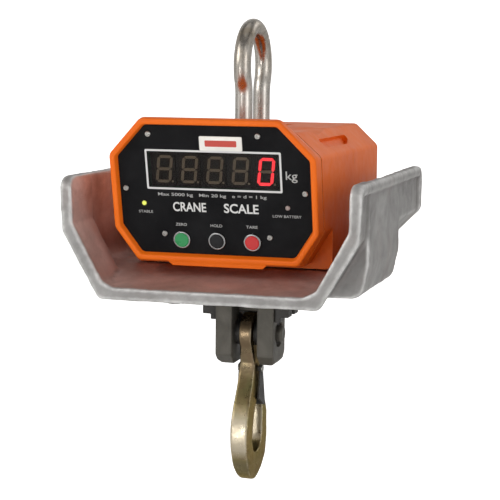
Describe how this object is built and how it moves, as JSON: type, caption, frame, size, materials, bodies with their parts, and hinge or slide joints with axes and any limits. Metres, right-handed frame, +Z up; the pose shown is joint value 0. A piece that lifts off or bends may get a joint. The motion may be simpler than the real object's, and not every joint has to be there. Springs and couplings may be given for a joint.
{
  "type": "crane scale",
  "caption": "Hanging crane scale: eight-sided cast housing with a leaning digit panel, standing in a cast heat shield between a top bow shackle and a clevis-hung eye hook with latch.",
  "frame": {"origin": "the seat inside the top of the shackle bow, where the crane hook bears, on the vertical load line through shackle and hook", "axes": "+Z up along the load line, the display faces -Y, +X to the right of a reader of the display"},
  "size_m": [0.33, 0.346, 0.5302],
  "materials": {
    "polished_steel": "polished, fine draw marks",
    "plated_steel": "zinc plated, satin",
    "cell_steel": "machined, satin",
    "dark_steel": "black oxide, matt",
    "grey_steel": "grey enamel, worn",
    "hook_plating": "yellow zinc over a forged skin",
    "cast_aluminium": "raw casting",
    "orange_paint": "satin orange enamel",
    "black_panel": "satin printed film",
    "window_plastic": "dark red filter",
    "digit_plastic": "moulded",
    "board_green": "solder mask",
    "black_plastic": "moulded",
    "green_plastic": "glossy",
    "red_plastic": "glossy",
    "lamp_green": "translucent",
    "chrome_ring": "bright",
    "white_plate": "blank plate",
    "rubber": "moulded"
  },
  "bodies": {
    "shackle": {"shackle_bow": "polished_steel", "shackle_pin": "plated_steel", "shackle_nut": "plated_steel", "shackle_split_pin": "plated_steel"},
    "scale_body": {"battery": "black_plastic", "battery_tray": "plated_steel", "board_posts": "plated_steel", "button_rings": "chrome_ring", "cell_cable": "black_plastic", "charge_socket": "plated_steel", "clamp_plate": "plated_steel", "clevis": "grey_steel", "clevis_pin": "grey_steel", "digit_blocks": "digit_plastic", "display_board": "board_green", "display_window": "window_plastic", "door_hinge_pin": "plated_steel", "earth_bolt": "dark_steel", "fascia": "black_panel", "fascia_screws": "plated_steel", "frame_screws": "plated_steel", "front_frame": "orange_paint", "front_gasket": "rubber", "gauge_covers": "plated_steel", "green_lamp": "lamp_green", "heat_shield": "cast_aluminium", "hook_spacers": "dark_steel", "housing_shell": "orange_paint", "load_cell": "cell_steel", "main_board": "board_green", "main_board_posts": "plated_steel", "name_plate": "white_plate", "pin_circlips": "dark_steel", "rear_cover": "orange_paint", "rear_gasket": "rubber", "rear_screws": "dark_steel", "red_lamp": "red_plastic", "seat_mat": "rubber", "shield_bolts": "dark_steel", "shield_brackets": "dark_steel", "stud_lock_pin": "dark_steel", "switch_bodies": "black_plastic"},
    "hook": {"hook": "hook_plating", "latch_pin": "plated_steel"},
    "latch": {"hook_latch": "dark_steel", "latch_spring": "plated_steel"},
    "green_button": {"green_button": "green_plastic"},
    "black_button": {"black_button": "black_plastic"},
    "red_button": {"red_button": "red_plastic"},
    "battery_door": {"battery_door": "black_plastic"},
    "door_knob": {"door_knob": "black_plastic"},
    "socket_cap": {"socket_cap": "rubber"}
  },
  "joints": [
    {"name": "body_swing", "type": "hinge", "parent": "shackle", "child": "scale_body", "pos_m": [0, 0, -0.12195], "axis": [0, 1, 0], "range_deg": [-35, 35]},
    {"name": "hook_swing", "type": "hinge", "parent": "scale_body", "child": "hook", "pos_m": [0, 0, -0.33795], "axis": [1, 0, 0], "range_deg": [-60, 60]},
    {"name": "latch_pivot", "type": "hinge", "parent": "hook", "child": "latch", "pos_m": [0, 0.003, -0.38045], "axis": [1, 0, 0], "range_deg": [-25, 0]},
    {"name": "green_button_press", "type": "slide", "parent": "scale_body", "child": "green_button", "axis": [0, 0.9751, 0.2215], "range_m": [0, 0.0025]},
    {"name": "black_button_press", "type": "slide", "parent": "scale_body", "child": "black_button", "axis": [0, 0.9751, 0.2215], "range_m": [0, 0.0025]},
    {"name": "red_button_press", "type": "slide", "parent": "scale_body", "child": "red_button", "axis": [0, 0.9751, 0.2215], "range_m": [0, 0.0025]},
    {"name": "battery_door_hinge", "type": "hinge", "parent": "scale_body", "child": "battery_door", "pos_m": [0, 0.1582, -0.23895], "axis": [1, 0, 0], "range_deg": [-95, 0]},
    {"name": "door_knob_turn", "type": "hinge", "parent": "battery_door", "child": "door_knob", "pos_m": [0, 0.158, -0.17995], "axis": [0, 1, 0], "range_deg": [0, 90]},
    {"name": "socket_cap_flip", "type": "hinge", "parent": "scale_body", "child": "socket_cap", "pos_m": [0.086, 0.1576, -0.14855], "axis": [1, 0, 0], "range_deg": [0, 110]}
  ]
}
